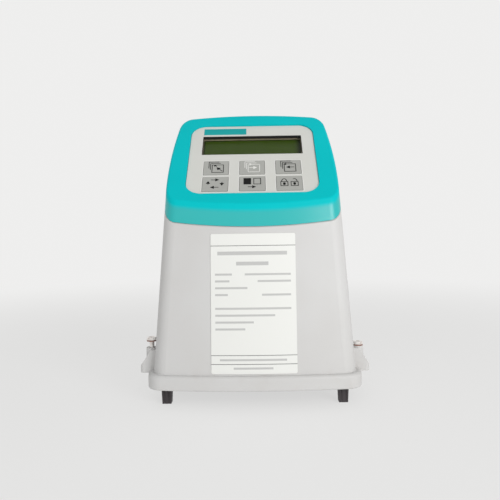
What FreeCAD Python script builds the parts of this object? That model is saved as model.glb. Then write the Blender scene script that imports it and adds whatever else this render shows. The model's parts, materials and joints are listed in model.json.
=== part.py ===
"""Plug-on transmitter head of an electromagnetic flow meter, as a FreeCAD macro.

The head stands upright on its base: X runs across the front, -Y is the front, +Z is up,
and the origin is the centre of the flange's bottom plane. The sloping display face has a
frame of its own, whose origin is the middle of the crease below the display: X across,
Y up the slope and Z out of the face.
"""

import math
import os

import FreeCAD
import Part
import Sketcher
from FreeCAD import Placement, Rotation, Vector

doc = FreeCAD.newDocument("flow_transmitter")

# ---------------------------------------------------------------------------
# Driving dimensions, in millimetres and degrees
# ---------------------------------------------------------------------------

DIMENSIONS = [
    # the moulded outer form, measured at the base plane
    ("body_width", 140.7),
    ("body_depth", 86.8),
    ("form_height", 206),
    ("front_lean", 6.2),
    ("rear_lean", 1),
    ("side_lean", 4.36),
    ("front_radius", 480),
    ("side_radius", 180),
    ("corner_radius", 10),
    ("wall", 3),
    # flange, which stands out from the form at its sides and at its front and rear
    ("flange_step", 3),
    ("flange_step_deep", 1.9),
    ("flange_height", 9.8),
    ("flange_edge", 2.5),
    ("flange_foot", 1.2),
    # display face and cap
    ("crease_height", 120.5),
    ("face_angle", 46.5),
    ("cap_depth", 9.1),
    ("cap_seam", 0.5),
    ("cap_wall", 2.6),
    ("cap_roof", 5.2),
    ("cap_edge", 1.7),
    ("gasket_inset", 1.2),
    ("gasket_rebate", 1),
    # display plate, window and keys, on the face
    ("plate_width", 91),
    ("plate_length", 75.8),
    ("plate_corner", 11),
    ("plate_thickness", 2.2),
    ("plate_centre", 48.5),
    ("plate_recess", 1),
    ("plate_ledge", 2),
    ("window_margin", 8.9),
    ("window_length", 21.7),
    ("window_centre", 63.4),
    ("lens_thickness", 1),
    ("lens_overlap", 2.5),
    ("key_gap_across", 7.8),
    ("key_length", 14.8),
    ("key_corner", 0.5),
    ("key_margin", 11.3),
    ("key_pitch_up", 17),
    ("key_centre", 29.05),
    ("key_proud", 0.25),
    ("key_travel", 0.6),
    ("key_skirt", 1),
    ("key_skirt_thickness", 0.7),
    ("key_gap", 0.1),
    ("fit", 0.25),
    # display board stack
    ("dome_height", 0.5),
    ("dome_radius", 4.5),
    ("mat_thickness", 1),
    ("board_thickness", 1.6),
    ("post_radius", 2.4),
    ("post_offset", 1.5),
    ("post_low", 18),
    ("post_high", 66),
    ("board_margin", 2.7),
    ("display_board_length", 74),
    ("tray_margin", 2.3),
    ("tray_length", 62),
    ("tray_depth", 9),
    ("tray_wall", 1.6),
    ("tray_post_radius", 3),
    ("bezel_rim", 3),
    ("small_screw_radius", 0.9),
    ("small_screw_head", 2.4),
    # captive screws and their columns
    ("screw_inset", 3.25),
    ("screw_apart", 40),
    ("boss_radius", 3.7),
    ("boss_draft", 0.5),
    ("boss_top", 24),
    ("neck_length", 6),
    ("foot_bottom", 7.6),
    ("foot_face", 4.4),
    ("foot_flare", 5.4),
    ("foot_reach", 3.6),
    ("foot_width", 10),
    ("thread_radius", 2),
    ("shank_radius", 1.6),
    ("head_radius", 3.5),
    ("head_height", 2),
    ("screw_length", 27),
    ("thread_length", 12),
    ("drive_radius", 1.6),
    ("drive_depth", 1.2),
    ("washer_thickness", 0.7),
    ("screw_lift", 4.3),
    ("neck_clearance", 0.15),
    ("counterbore_radius", 3.2),
    ("head_clearance", 0.5),
    ("relief_height", 40),
    ("column_wall", 1.6),
    ("column_height", 40),
    # chassis and boards
    ("chassis_level", 2),
    ("chassis_thickness", 3),
    ("rail_inside", 105),
    ("rail_thickness", 3),
    ("rail_height", 90),
    ("rail_front", 24),
    ("rail_rear", 30),
    ("slot_depth", 1.5),
    ("main_board_y", 15),
    ("power_board_y", -13),
    ("board_headroom", 16.5),
    ("power_board_height", 84),
    ("guide_inset", 11.5),
    ("guide_width", 7.2),
    ("guide_depth", 7),
    ("guide_front", -31),
    ("guide_length", 12),
    ("guide_taper", 2.5),
    ("plug_width", 74),
    ("plug_depth", 18),
    ("plug_height", 12),
    ("pin_pitch", 6.2),
    ("pin_rows_apart", 8),
    ("pin_side", 1.2),
    ("pin_clearance", 0.1),
    ("pin_lift", 2),
    ("socket_side", 2.8),
    ("socket_depth", 7),
    ("corner_post_radius", 4.5),
    ("corner_post_x", 49.5),
    ("corner_post_inset", 6.2),
    ("corner_post_height", 15),
    ("chassis_screw_radius", 1.2),
    ("chassis_screw_head", 2.8),
    ("chassis_screw_reach", 8),
    ("pilot_clearance", 0.1),
    # label
    ("label_width", 55.4),
    ("label_bottom", 10.9),
    ("label_below_crease", 19.6),
    ("label_thickness", 0.3),
    ("label_gap", 0.1),
]

sheet = doc.addObject("Spreadsheet::Sheet", "size")
for row, (alias, number) in enumerate(DIMENSIONS, start=1):
    sheet.set(f"A{row}", alias)
    sheet.set(f"B{row}", str(number))
    sheet.setAlias(f"B{row}", alias)
doc.recompute()


class Size:
    """A number together with the spreadsheet expression that gives it."""

    def __init__(self, value, text):
        self.value = float(value)
        self.text = text

    def __add__(self, other):
        other = as_size(other)
        return Size(self.value + other.value, f"({self.text} + {other.text})")

    def __sub__(self, other):
        other = as_size(other)
        return Size(self.value - other.value, f"({self.text} - {other.text})")

    def __mul__(self, other):
        other = as_size(other)
        return Size(self.value * other.value, f"({self.text} * {other.text})")

    def __truediv__(self, other):
        other = as_size(other)
        return Size(self.value / other.value, f"({self.text} / {other.text})")

    def __neg__(self):
        return Size(-self.value, f"(-1 * {self.text})")

    def __rsub__(self, other):
        return as_size(other) - self

    __radd__ = __add__
    __rmul__ = __mul__


def as_size(number):
    return number if isinstance(number, Size) else Size(number, repr(number))


ZERO = as_size(0)


def tan(angle):
    return Size(math.tan(math.radians(angle.value)), f"tan({angle.text})")


def sin(angle):
    return Size(math.sin(math.radians(angle.value)), f"sin({angle.text})")


def cos(angle):
    return Size(math.cos(math.radians(angle.value)), f"cos({angle.text})")


class Sheet:
    """Each alias of the spreadsheet as a Size."""


d = Sheet()
for alias, number in DIMENSIONS:
    setattr(d, alias, Size(sheet.get(alias), f"size.{alias}"))

# ---------------------------------------------------------------------------
# Helpers that make bound objects
# ---------------------------------------------------------------------------

UPRIGHT = Rotation()
FACING_FRONT = Rotation(Vector(1, 0, 0), 90)
BIG = 400


def bind(thing, name, size):
    """Set a property from a Size and keep it bound to the sheet."""
    size = as_size(size)
    thing.setExpression(name, size.text)


places = {}


def place(thing, at, turn=UPRIGHT):
    """Put a piece somewhere, with each coordinate bound to the sheet."""
    places[thing.Name] = at
    thing.Placement = Placement(Vector(*[as_size(c).value for c in at]), turn)
    for axis, coordinate in zip("xyz", at):
        bind(thing, f"Placement.Base.{axis}", coordinate)
    return thing


def box(name, size, centre, base):
    """A box centred on a point in plan, standing on a level."""
    solid = doc.addObject("Part::Box", name)
    for side, length in zip(("Length", "Width", "Height"), size):
        bind(solid, side, length)
    across, along = as_size(size[0]), as_size(size[1])
    return place(solid, (centre[0] - across / 2, centre[1] - along / 2, base))


def rod(name, radius, length, at, turn=UPRIGHT):
    solid = doc.addObject("Part::Cylinder", name)
    bind(solid, "Radius", radius)
    bind(solid, "Height", length)
    return place(solid, at, turn)


def cone(name, radii, length, at):
    solid = doc.addObject("Part::Cone", name)
    bind(solid, "Radius1", radii[0])
    bind(solid, "Radius2", radii[1])
    bind(solid, "Height", length)
    return place(solid, at)


def fuse(name, parts):
    joined = doc.addObject("Part::MultiFuse", name)
    joined.Shapes = parts
    return joined


def group(name, parts):
    """Separate solids that share one node."""
    together = doc.addObject("Part::Compound", name)
    together.Links = parts
    return together


def cut(name, base, tool):
    if isinstance(tool, list):
        tool = fuse(f"{name}_tools", tool)
    rest = doc.addObject("Part::Cut", name)
    rest.Base = base
    rest.Tool = tool
    return rest


def common(name, first, second):
    both = doc.addObject("Part::Common", name)
    both.Base = first
    both.Tool = second
    return both


def round_edges(name, base, radius, wanted):
    """Fillet the edges of a finished base that a test picks out."""
    doc.recompute()
    rounded = doc.addObject("Part::Fillet", name)
    rounded.Base = base
    picked = [n for n, edge in enumerate(base.Shape.Edges, start=1) if wanted(edge)]
    rounded.Edges = [(n, radius.value, radius.value) for n in picked]
    return rounded


def plane_of(body, role):
    return next(f for f in body.Origin.OriginFeatures if f.Role == role)


def new_sketch(body, name, role, level=0):
    sketch = body.newObject("Sketcher::SketchObject", name)
    sketch.AttachmentSupport = [(plane_of(body, role), "")]
    sketch.MapMode = "FlatFace"
    bind(sketch, "AttachmentOffset.Base.z", level)
    return sketch


def limit(sketch, constraint, size):
    """Add a dimension to a sketch and bind it to the sheet."""
    number = sketch.addConstraint(constraint)
    bind(sketch, f"Constraints[{number}]", size)


def pin_point(sketch, edge, end, x, y):
    """Dimension one point of a sketch from the origin along both axes."""
    for kind, size in (("DistanceX", as_size(x)), ("DistanceY", as_size(y))):
        if size.value < 0:
            rule = Sketcher.Constraint(kind, edge, end, -1, 1, -size.value)
            limit(sketch, rule, -size)
        else:
            rule = Sketcher.Constraint(kind, -1, 1, edge, end, size.value)
            limit(sketch, rule, size)


def draw_outline(sketch, points):
    """A closed polygon whose corners are all dimensioned from the origin."""
    spots = [Vector(as_size(x).value, as_size(y).value, 0) for x, y in points]
    count = len(points)
    for n in range(count):
        sketch.addGeometry(Part.LineSegment(spots[n], spots[(n + 1) % count]), False)
    for n in range(count):
        sketch.addConstraint(Sketcher.Constraint("Coincident", n, 2, (n + 1) % count, 1))
    for n, (x, y) in enumerate(points):
        pin_point(sketch, n, 1, x, y)


def corner_centre(bow_centre, bow_radius, side_centre, side_radius, corner, up):
    """Where a corner arc is centred so that it runs tangent into a bow and a side."""
    (ax, ay), (bx, by) = bow_centre, side_centre
    ra, rb = bow_radius - corner, side_radius - corner
    apart = math.hypot(bx - ax, by - ay)
    along = (ra * ra - rb * rb + apart * apart) / (2 * apart)
    off = math.sqrt(ra * ra - along * along)
    ux, uy = (bx - ax) / apart, (by - ay) / apart
    spots = [(ax + along * ux - s * off * uy, ay + along * uy + s * off * ux) for s in (-1, 1)]
    right = [spot for spot in spots if spot[0] > 0]
    return max(right, key=lambda spot: up * spot[1])


def draw_bowed(sketch, half_width, front, rear, corner):
    """Two bows, two sides and four corners: eight arcs that run tangent into each other."""
    bow, side = d.front_radius, d.side_radius
    middle = (front + rear) / 2
    bows = {-1: (ZERO, front + bow), 1: (ZERO, rear - bow)}
    sides = {-1: (side - half_width, middle), 1: (half_width - side, middle)}
    corners = {}
    for up in (-1, 1):
        bow_spot = [c.value for c in bows[up]]
        side_spot = [c.value for c in sides[1]]
        x, y = corner_centre(bow_spot, bow.value, side_spot, side.value, corner.value, up)
        corners[1, up] = (x, y)
        corners[-1, up] = (-x, y)

    def touch(centre, radius, corner_spot):
        """The point where an arc meets a corner arc inside it."""
        cx, cy = centre[0].value, centre[1].value
        share = radius.value / (radius.value - corner.value)
        return Vector(cx + (corner_spot[0] - cx) * share, cy + (corner_spot[1] - cy) * share, 0)

    def arc(centre, radius, start, end):
        circle = Part.Circle(Vector(*centre, 0), Vector(0, 0, 1), radius)
        sketch.addGeometry(Part.ArcOfCircle(circle, *[circle.parameter(p) for p in (start, end)]))

    # anticlockwise from the front bow: each long arc is followed by the corner at its end
    long_arcs = [(bows[-1], bow), (sides[1], side), (bows[1], bow), (sides[-1], side)]
    order = [(1, -1), (1, 1), (-1, 1), (-1, -1)]
    for n, (centre, radius) in enumerate(long_arcs):
        before, after = corners[order[n - 1]], corners[order[n]]
        follows, follows_radius = long_arcs[(n + 1) % 4]
        spot = [c.value for c in centre]
        start, end = touch(centre, radius, before), touch(centre, radius, after)
        arc(spot, radius.value, start, end)
        arc(after, corner.value, end, touch(follows, follows_radius, after))
    for n in range(8):
        sketch.addConstraint(Sketcher.Constraint("Tangent", n, 2, (n + 1) % 8, 1))
    for n, (centre, radius) in enumerate(long_arcs):
        pin_point(sketch, 2 * n, 3, *centre)
        limit(sketch, Sketcher.Constraint("Radius", 2 * n, radius.value), radius)
        limit(sketch, Sketcher.Constraint("Radius", 2 * n + 1, corner.value), corner)


def draw_rounded(sketch, width, length, radius):
    """A rectangle with rounded corners, centred on the origin."""
    x, y, r = width.value / 2, length.value / 2, radius.value
    corners = [(x - r, y - r, 0), (r - x, y - r, 90), (r - x, r - y, 180), (x - r, r - y, 270)]
    for cx, cy, start in corners:
        circle = Part.Circle(Vector(cx, cy, 0), Vector(0, 0, 1), r)
        turn = math.radians(start)
        sketch.addGeometry(Part.ArcOfCircle(circle, turn, turn + math.pi / 2), False)
    sides = [((x - r, y), (r - x, y)), ((-x, y - r), (-x, r - y))]
    sides += [((r - x, -y), (x - r, -y)), ((x, r - y), (x, y - r))]
    for start, end in sides:
        sketch.addGeometry(Part.LineSegment(Vector(*start, 0), Vector(*end, 0)), False)
    for n in range(4):
        sketch.addConstraint(Sketcher.Constraint("Tangent", n, 2, n + 4, 1))
        sketch.addConstraint(Sketcher.Constraint("Tangent", n + 4, 2, (n + 1) % 4, 1))
        kind = "Horizontal" if n % 2 == 0 else "Vertical"
        sketch.addConstraint(Sketcher.Constraint(kind, n + 4))
    for n in range(1, 4):
        sketch.addConstraint(Sketcher.Constraint("Equal", 0, n))
    limit(sketch, Sketcher.Constraint("Radius", 0, r), radius)
    pin_point(sketch, 0, 3, width / 2 - radius, length / 2 - radius)
    pin_point(sketch, 2, 3, radius - width / 2, radius - length / 2)


def slab(name, size, radius, centre, base):
    """A plate with rounded corners: a padded sketch in a body of its own."""
    body = doc.addObject("PartDesign::Body", name)
    sketch = new_sketch(body, f"{name}_outline", "XY_Plane")
    draw_rounded(sketch, as_size(size[0]), as_size(size[1]), as_size(radius))
    pad = body.newObject("PartDesign::Pad", f"{name}_pad")
    pad.Profile = sketch
    bind(pad, "Length", size[2])
    return place(body, (centre[0], centre[1], base))


def turned(name, outline, at):
    """A piece turned on a lathe: half its section, as (radius, level), revolved."""
    body = doc.addObject("PartDesign::Body", name)
    sketch = new_sketch(body, f"{name}_section", "XZ_Plane")
    draw_outline(sketch, outline)
    turn = body.newObject("PartDesign::Revolution", f"{name}_turned")
    turn.Profile = sketch
    turn.ReferenceAxis = (sketch, ["V_Axis"])
    turn.Angle = 360
    return place(body, at)


# ---------------------------------------------------------------------------
# The outer form: a bowed, leaning block that every shell is taken from
# ---------------------------------------------------------------------------

FORM_LOW = as_size(-6)


def front_at(level):
    """The front's furthest point at a level."""
    return level * tan(d.front_lean) - d.body_depth / 2


def rear_at(level):
    return d.body_depth / 2 - level * tan(d.rear_lean)


def half_width_at(level):
    """Half the width at a level, measured at mid depth."""
    return d.body_width / 2 - level * tan(d.side_lean)


def tapered_form(name, inset, low=FORM_LOW):
    """The outer form with each side moved inwards, as a loft between two bowed sections."""
    body = doc.addObject("PartDesign::Body", name)
    inset = as_size(inset)
    ends = []
    for n, level in enumerate((low, d.form_height)):
        sketch = new_sketch(body, f"{name}_section_{n}", "XY_Plane", level)
        half_width = half_width_at(level) - inset
        front = front_at(level) + inset
        rear = rear_at(level) - inset
        draw_bowed(sketch, half_width, front, rear, d.corner_radius - inset)
        ends.append(sketch)
    loft = body.newObject("PartDesign::AdditiveLoft", f"{name}_loft")
    loft.Profile = ends[0]
    loft.Sections = [ends[1]]
    loft.Ruled = True
    return body


def on_face(thing):
    """Carry a piece from the display face's frame to the head's frame."""
    x, up, out = [as_size(c) for c in places.get(thing.Name, (0, 0, 0))]
    y = front_at(d.crease_height) + up * cos(d.face_angle) - out * sin(d.face_angle)
    z = d.crease_height + up * sin(d.face_angle) + out * cos(d.face_angle)
    place(thing, (x, y, z), Rotation(Vector(1, 0, 0), d.face_angle.value))
    bind(thing, "Placement.Rotation.Angle", d.face_angle)
    return thing


def face_layer(name, low, high):
    """Everything between two planes that lie parallel to the display face."""
    layer = box(name, (BIG, BIG, high - low), (0, ZERO), low)
    return on_face(layer)


# ---------------------------------------------------------------------------
# Housing: the light shell with its flange, screw bosses and inner posts
# ---------------------------------------------------------------------------

FLANGE_WIDTH = d.body_width + 2 * d.flange_step
SCREW_X = FLANGE_WIDTH / 2 - d.screw_inset
SCREW_PLACES = [
    (side * SCREW_X, row * d.screw_apart / 2)
    for row in (-1, 1)
    for side in (-1, 1)
]
SCREW_NAMES = ["front_left", "front_right", "rear_left", "rear_right"]
CORNER_POST_Y = d.body_depth / 2 - d.wall - d.corner_post_inset
CORNER_PLACES = [
    (side * d.corner_post_x, row * CORNER_POST_Y) for row in (-1, 1) for side in (-1, 1)
]
CHASSIS_TOP = d.chassis_level + d.chassis_thickness
SEAM_FLOOR = -(d.cap_depth + d.cap_seam)
RELIEF_RADIUS = d.head_radius + d.head_clearance
COLUMN_RADIUS = RELIEF_RADIUS + d.column_wall


def make_flange():
    """The plinth: a bowed plate, well rounded above and a little below."""
    body = doc.addObject("PartDesign::Body", "flange")
    sketch = new_sketch(body, "flange_outline", "XY_Plane")
    reach = d.body_depth / 2 + d.flange_step_deep
    draw_bowed(sketch, FLANGE_WIDTH / 2, -reach, reach, d.corner_radius + 1)
    pad = body.newObject("PartDesign::Pad", "flange_pad")
    pad.Profile = sketch
    bind(pad, "Length", d.flange_height)
    before = pad
    for name, level, radius in (("rim", d.flange_height, d.flange_edge), ("foot", ZERO, d.flange_foot)):
        doc.recompute()
        round_edge = [
            f"Edge{n}"
            for n, edge in enumerate(before.Shape.Edges, start=1)
            if abs(edge.BoundBox.Center.z - level.value) < 0.01 and edge.BoundBox.ZLength < 0.01
        ]
        softened = body.newObject("PartDesign::Fillet", f"flange_{name}")
        softened.Base = (before, round_edge)
        bind(softened, "Radius", radius)
        before = softened
    return body


def make_foot(name, side, x, y):
    """The flared foot of a screw boss, padded from its end view, with its slope run into the boss."""
    body = doc.addObject("PartDesign::Body", name)
    sketch = new_sketch(body, f"{name}_side", "XZ_Plane", -d.foot_width / 2)
    inner = as_size(-side * 6)
    outer = side * (d.boss_radius + d.foot_reach)
    face_top = d.foot_bottom + d.foot_face
    flare_top = face_top + d.foot_flare / d.foot_reach * (d.boss_radius + d.foot_reach)
    outline = [
        (inner, d.foot_bottom),
        (outer, d.foot_bottom),
        (outer, face_top),
        (0, flare_top),
        (inner, flare_top),
    ]
    draw_outline(sketch, outline)
    pad = body.newObject("PartDesign::Pad", f"{name}_pad")
    pad.Profile = sketch
    bind(pad, "Length", d.foot_width)
    doc.recompute()
    upright = [
        f"Edge{n}"
        for n, edge in enumerate(pad.Shape.Edges, start=1)
        if abs(edge.BoundBox.ZLength - d.foot_face.value) < 0.01
    ]
    corners = body.newObject("PartDesign::Fillet", f"{name}_corners")
    corners.Base = (pad, upright)
    corners.Radius = 2.5
    return place(body, (x, y, ZERO))


def make_housing():
    form = tapered_form("housing_form", 0, d.flange_height / 2)
    below = face_layer("housing_side_of_seam", as_size(-BIG), SEAM_FLOOR)
    outside = [common("housing_tub", form, below), make_flange()]
    bores = []
    columns = []
    boss_length = d.boss_top - d.foot_bottom
    boss_radii = (d.boss_radius + d.boss_draft, d.boss_radius)
    neck_level = d.boss_top - d.neck_length
    for name, (x, y) in zip(SCREW_NAMES, SCREW_PLACES):
        side = 1 if x.value > 0 else -1
        outside.append(cone(f"boss_{name}", boss_radii, boss_length, (x, y, d.foot_bottom)))
        outside.append(make_foot(f"foot_{name}", side, x, y))
        # the neck that the waisted shank runs in, and the wider bore that the thread drops into
        neck_radius = d.shank_radius + d.neck_clearance
        bores.append(rod(f"neck_{name}", neck_radius, d.boss_top, (x, y, ZERO)))
        bores.append(rod(f"counterbore_{name}", d.counterbore_radius, neck_level, (x, y, ZERO)))
        # room for the head and the driver above the boss, cut into the leaning wall
        bores.append(rod(f"relief_{name}", RELIEF_RADIUS, d.relief_height, (x, y, d.boss_top)))
        columns.append(rod(f"column_{name}", COLUMN_RADIUS, d.column_height, (x, y, ZERO)))
    pilot_radius = d.chassis_screw_radius + d.pilot_clearance
    pilot_depth = d.chassis_screw_reach + 2
    for n, (x, y) in enumerate(CORNER_PLACES):
        at = (x, y, CHASSIS_TOP)
        columns.append(rod(f"corner_post_{n}", d.corner_post_radius, d.corner_post_height, at))
        bores.append(rod(f"corner_pilot_{n}", pilot_radius, pilot_depth, at))
    cavity = cut("housing_cavity", tapered_form("housing_inside", d.wall), columns)
    shell = cut("housing_shell", fuse("housing_outside", outside), cavity)
    return cut("housing", shell, bores)


# ---------------------------------------------------------------------------
# Cap: the coloured slice above the seam, with the opening for the display plate
# ---------------------------------------------------------------------------

POST_X = d.plate_width / 2 + d.post_offset
POST_PLACES = [(side * POST_X, level) for level in (d.post_low, d.post_high) for side in (-1, 1)]
PLATE_TOP = -d.plate_recess
PLATE_FLOOR = PLATE_TOP - d.plate_thickness
LENS_FLOOR = PLATE_FLOOR - d.lens_thickness
SKIRT_FLOOR = PLATE_FLOOR - d.key_gap - d.key_skirt_thickness
DOME_TOP = SKIRT_FLOOR - d.key_travel - 0.2
MAT_TOP = DOME_TOP - d.dome_height
BOARD_TOP = MAT_TOP - d.mat_thickness
BOARD_FLOOR = BOARD_TOP - d.board_thickness
GASKET_TOP = d.gasket_rebate - d.cap_depth


def make_cap():
    slice_above = common(
        "cap_slice",
        tapered_form("cap_form", 0),
        face_layer("cap_side_of_seam", -d.cap_depth, ZERO),
    )
    crease = Vector(0, front_at(d.crease_height).value, d.crease_height.value)
    outwards = Vector(0, -sin(d.face_angle).value, cos(d.face_angle).value)

    def on_the_face(edge):
        heights = [(vertex.Point - crease).dot(outwards) for vertex in edge.Vertexes]
        return all(abs(height) < 0.01 for height in heights)

    softened = round_edges("cap_softened", slice_above, d.cap_edge, on_the_face)
    inside = common(
        "cap_inside",
        tapered_form("cap_inner_form", d.cap_wall),
        face_layer("cap_inner_layer", -d.cap_depth - 1, -d.cap_roof),
    )
    posts = [
        rod(f"cap_post_{n}", d.post_radius, -d.cap_roof - BOARD_TOP + 0.5, (x, y, BOARD_TOP))
        for n, (x, y) in enumerate(POST_PLACES)
    ]
    room = cut("cap_room", inside, on_face(fuse("cap_posts", posts)))
    rebate = common(
        "cap_rebate",
        tapered_form("cap_rebate_form", d.gasket_inset),
        face_layer("cap_rebate_layer", -d.cap_depth - 1, GASKET_TOP),
    )
    clearance = 2 * d.fit
    recess_size = (d.plate_width + clearance, d.plate_length + clearance, d.cap_depth)
    centre = (0, d.plate_centre)
    recess = slab("cap_recess", recess_size, d.plate_corner + d.fit, centre, PLATE_FLOOR)
    ledge = 2 * d.plate_ledge
    through_size = (d.plate_width - ledge, d.plate_length - ledge, 2 * d.cap_depth)
    through_corner = d.plate_corner - d.plate_ledge
    through = slab("cap_through", through_size, through_corner, centre, -1.5 * d.cap_depth)
    pilot_radius = d.small_screw_radius + d.pilot_clearance
    pilots = [
        rod(f"cap_pilot_{n}", pilot_radius, 3, (x, y, BOARD_TOP)) for n, (x, y) in enumerate(POST_PLACES)
    ]
    openings = on_face(fuse("cap_openings", [recess, through] + pilots))
    return cut("cap_frame", softened, [room, rebate, openings])


def make_gasket():
    """The seal that lies on the housing's rim, in the cap's rebate."""
    ring = cut(
        "gasket_ring",
        tapered_form("gasket_outer", d.gasket_inset + 0.1),
        tapered_form("gasket_inner", d.wall),
    )
    return common("display_gasket", ring, face_layer("gasket_layer", SEAM_FLOOR, GASKET_TOP))


# ---------------------------------------------------------------------------
# Display plate, window, keys and the stack behind them
# ---------------------------------------------------------------------------

WINDOW_WIDTH = d.plate_width - 2 * d.window_margin
KEY_WIDTH = (d.plate_width - 2 * d.key_margin - 2 * d.key_gap_across) / 3
KEY_PITCH_ACROSS = KEY_WIDTH + d.key_gap_across
KEY_PLACES = [
    (column * KEY_PITCH_ACROSS, d.key_centre - row * d.key_pitch_up / 2)
    for row in (-1, 1)
    for column in (-1, 0, 1)
]
ROW_NAMES = ("upper", "lower")
COLUMN_NAMES = ("left", "middle", "right")
KEY_NAMES = [f"key_{row}_{column}" for row in ROW_NAMES for column in COLUMN_NAMES]


def make_plate():
    size = (d.plate_width, d.plate_length, d.plate_thickness)
    plate = slab("plate_blank", size, d.plate_corner, (0, d.plate_centre), PLATE_FLOOR)
    deep = d.plate_thickness + 2
    window = slab(
        "plate_window",
        (WINDOW_WIDTH, d.window_length, deep),
        0.6,
        (0, d.window_centre),
        PLATE_FLOOR - 1,
    )
    holes = [window]
    for name, (x, y) in zip(KEY_NAMES, KEY_PLACES):
        hole_size = (KEY_WIDTH + 2 * d.fit, d.key_length + 2 * d.fit, deep)
        holes.append(slab(f"hole_{name}", hole_size, d.key_corner + d.fit, (x, y), PLATE_FLOOR - 1))
    return on_face(cut("display_plate", plate, holes))


def make_key(name, x, y):
    """A key cap with a thin skirt under the plate that keeps it in."""
    cap_size = (KEY_WIDTH, d.key_length, d.plate_thickness + d.key_proud)
    cap = slab(f"{name}_cap", cap_size, d.key_corner, (x, y), PLATE_FLOOR)
    skirt_size = (KEY_WIDTH + 2 * d.key_skirt, d.key_length, d.key_skirt_thickness)
    skirt = box(f"{name}_skirt", skirt_size, (x, y), SKIRT_FLOOR)
    neck_size = (KEY_WIDTH - 2, d.key_length - 2, 3 * d.key_gap)
    neck = box(f"{name}_neck", neck_size, (x, y), PLATE_FLOOR - 2 * d.key_gap)
    return on_face(fuse(name, [cap, neck, skirt]))


def make_lens():
    lap = 2 * d.lens_overlap
    size = (WINDOW_WIDTH + lap, d.window_length + lap, d.lens_thickness)
    return on_face(slab("display_window", size, 1.5, (0, d.window_centre), LENS_FLOOR))


def make_lcd_glass():
    height = LENS_FLOOR - BOARD_TOP - 0.3
    size = (WINDOW_WIDTH - 1, d.window_length - 1, height)
    return on_face(box("lcd_glass", size, (0, d.window_centre), BOARD_TOP))


def make_lcd_bezel():
    height = LENS_FLOOR - BOARD_TOP - 0.1
    outer = (WINDOW_WIDTH + 2 * d.bezel_rim, d.window_length + 2 * d.bezel_rim, height)
    frame = slab("bezel_blank", outer, 1, (0, d.window_centre), BOARD_TOP)
    opening = box(
        "bezel_opening",
        (WINDOW_WIDTH - 0.6, d.window_length - 0.6, height + 2),
        (0, d.window_centre),
        BOARD_TOP - 1,
    )
    return on_face(cut("lcd_bezel", frame, opening))


def make_key_mat():
    width = 2 * KEY_PITCH_ACROSS + KEY_WIDTH + 2
    length = d.key_pitch_up + d.key_length - 1
    parts = [slab("mat_sheet", (width, length, d.mat_thickness), 2, (0, d.key_centre), BOARD_TOP)]
    radii = (d.dome_radius, d.dome_radius - 1.5)
    for name, (x, y) in zip(KEY_NAMES, KEY_PLACES):
        parts.append(cone(f"dome_{name}", radii, d.dome_height, (x, y, MAT_TOP)))
    return on_face(fuse("key_mat", parts))


def make_display_board():
    size = (2 * (POST_X + d.board_margin), d.display_board_length, d.board_thickness)
    centre = (0, d.plate_centre)
    board = slab("display_board_blank", size, 2, centre, BOARD_FLOOR)
    holes = [
        rod(f"display_board_hole_{n}", 1.3, 5, (x, y, BOARD_FLOOR - 1))
        for n, (x, y) in enumerate(POST_PLACES)
    ]
    return on_face(cut("display_board", board, holes))


TRAY_FLOOR = BOARD_FLOOR - d.tray_depth
TRAY_CENTRE = (d.post_low + d.post_high) / 2


def make_tray():
    """The shallow tray that closes the display unit from behind."""
    width = 2 * (POST_X + d.board_margin + d.tray_margin)
    size = (width, d.tray_length, d.tray_depth)
    blank = slab("tray_blank", size, 4, (0, TRAY_CENTRE), TRAY_FLOOR)
    inner = (size[0] - 2 * d.tray_wall, size[1] - 2 * d.tray_wall, size[2])
    hollow = slab("tray_hollow", inner, 2.5, (0, TRAY_CENTRE), TRAY_FLOOR + d.tray_wall)
    posts = [
        rod(f"tray_post_{n}", d.tray_post_radius, d.tray_depth, (x, y, TRAY_FLOOR))
        for n, (x, y) in enumerate(POST_PLACES)
    ]
    holes = [
        rod(f"tray_hole_{n}", 1.3, d.tray_depth + 2, (x, y, TRAY_FLOOR - 1))
        for n, (x, y) in enumerate(POST_PLACES)
    ]
    outlet = box("tray_outlet", (36, 9, 6), (0, TRAY_CENTRE), TRAY_FLOOR - 1)
    tray = fuse("tray_with_posts", [cut("tray_shell", blank, hollow)] + posts)
    return on_face(cut("display_tray", tray, holes + [outlet]))


def make_display_screws():
    length = d.tray_depth + d.board_thickness + 2.4
    head, shank = d.small_screw_head, d.small_screw_radius
    outline = [(0, -2), (head, -2), (head, 0), (shank, 0), (shank, length), (0, length)]
    screws = [
        turned(f"display_screw_{n}", outline, (x, y, TRAY_FLOOR)) for n, (x, y) in enumerate(POST_PLACES)
    ]
    return on_face(group("display_screws", screws))


def make_display_plug():
    """The plug on the display board that reaches out of the tray's outlet."""
    depth = d.tray_depth + 1.5
    body = box("display_plug_body", (30, 6, depth), (0, TRAY_CENTRE), BOARD_FLOOR - depth)
    slot = box("display_plug_slot", (26, 2.4, 4), (0, TRAY_CENTRE), BOARD_FLOOR - depth - 1)
    return on_face(cut("display_plug", body, slot))


# ---------------------------------------------------------------------------
# Captive screws and washers
# ---------------------------------------------------------------------------

HEAD_LEVEL = d.boss_top + d.washer_thickness


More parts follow.
